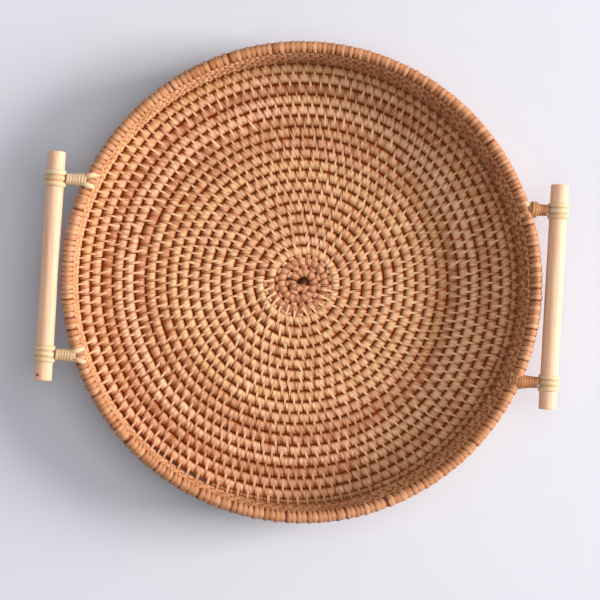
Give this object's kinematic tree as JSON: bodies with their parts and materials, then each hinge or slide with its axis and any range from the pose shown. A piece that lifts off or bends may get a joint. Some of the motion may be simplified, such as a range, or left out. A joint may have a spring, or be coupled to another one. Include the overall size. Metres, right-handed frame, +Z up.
{
  "type": "serving tray",
  "caption": "Round shallow serving tray of coiled, peel-bound rattan with a low upright wall, a close-wrapped rim and straight wooden bar handles lashed on stub arms at both sides.",
  "frame": {"origin": "centre of the underside, on the surface that the tray rests on", "axes": "+Z up out of the tray, X through the two handles, Y from front to rear along the bars"},
  "size_m": [0.3274, 0.3, 0.043],
  "materials": {
    "rattan_peel": "satin split rattan peel",
    "rattan_cane": "matt rattan cane",
    "rim_peel": "satin split rattan peel",
    "handle_wood": "bare sanded hardwood",
    "lashing_peel": "satin pale rattan peel"
  },
  "bodies": {
    "root": {"coil_start_knot": "rattan_peel", "corner_binding": "rattan_peel", "corner_hoop": "rattan_cane", "floor_binding_1": "rattan_peel", "floor_binding_2": "rattan_peel", "floor_binding_3": "rattan_peel", "floor_cane_1": "rattan_cane", "floor_cane_2": "rattan_cane", "floor_cane_3": "rattan_cane", "floor_coil_tail": "rattan_peel", "left_front_arm_core": "rattan_cane", "left_front_arm_wrap": "lashing_peel", "left_front_bar_lashing": "lashing_peel", "left_front_rim_tie": "lashing_peel", "left_handle_bar": "handle_wood", "left_rear_arm_core": "rattan_cane", "left_rear_arm_wrap": "lashing_peel", "left_rear_bar_lashing": "lashing_peel", "left_rear_rim_tie": "lashing_peel", "right_front_arm_core": "rattan_cane", "right_front_arm_wrap": "lashing_peel", "right_front_bar_lashing": "lashing_peel", "right_front_rim_tie": "lashing_peel", "right_handle_bar": "handle_wood", "right_rear_arm_core": "rattan_cane", "right_rear_arm_wrap": "lashing_peel", "right_rear_bar_lashing": "lashing_peel", "right_rear_rim_tie": "lashing_peel", "rim_binding": "rim_peel", "rim_hoop": "rattan_cane", "wall_binding_1": "rattan_peel", "wall_binding_2": "rattan_peel", "wall_binding_3": "rattan_peel", "wall_binding_4": "rattan_peel", "wall_hoop_1": "rattan_cane", "wall_hoop_2": "rattan_cane", "wall_hoop_3": "rattan_cane", "wall_hoop_4": "rattan_cane"}
  },
  "joints": []
}
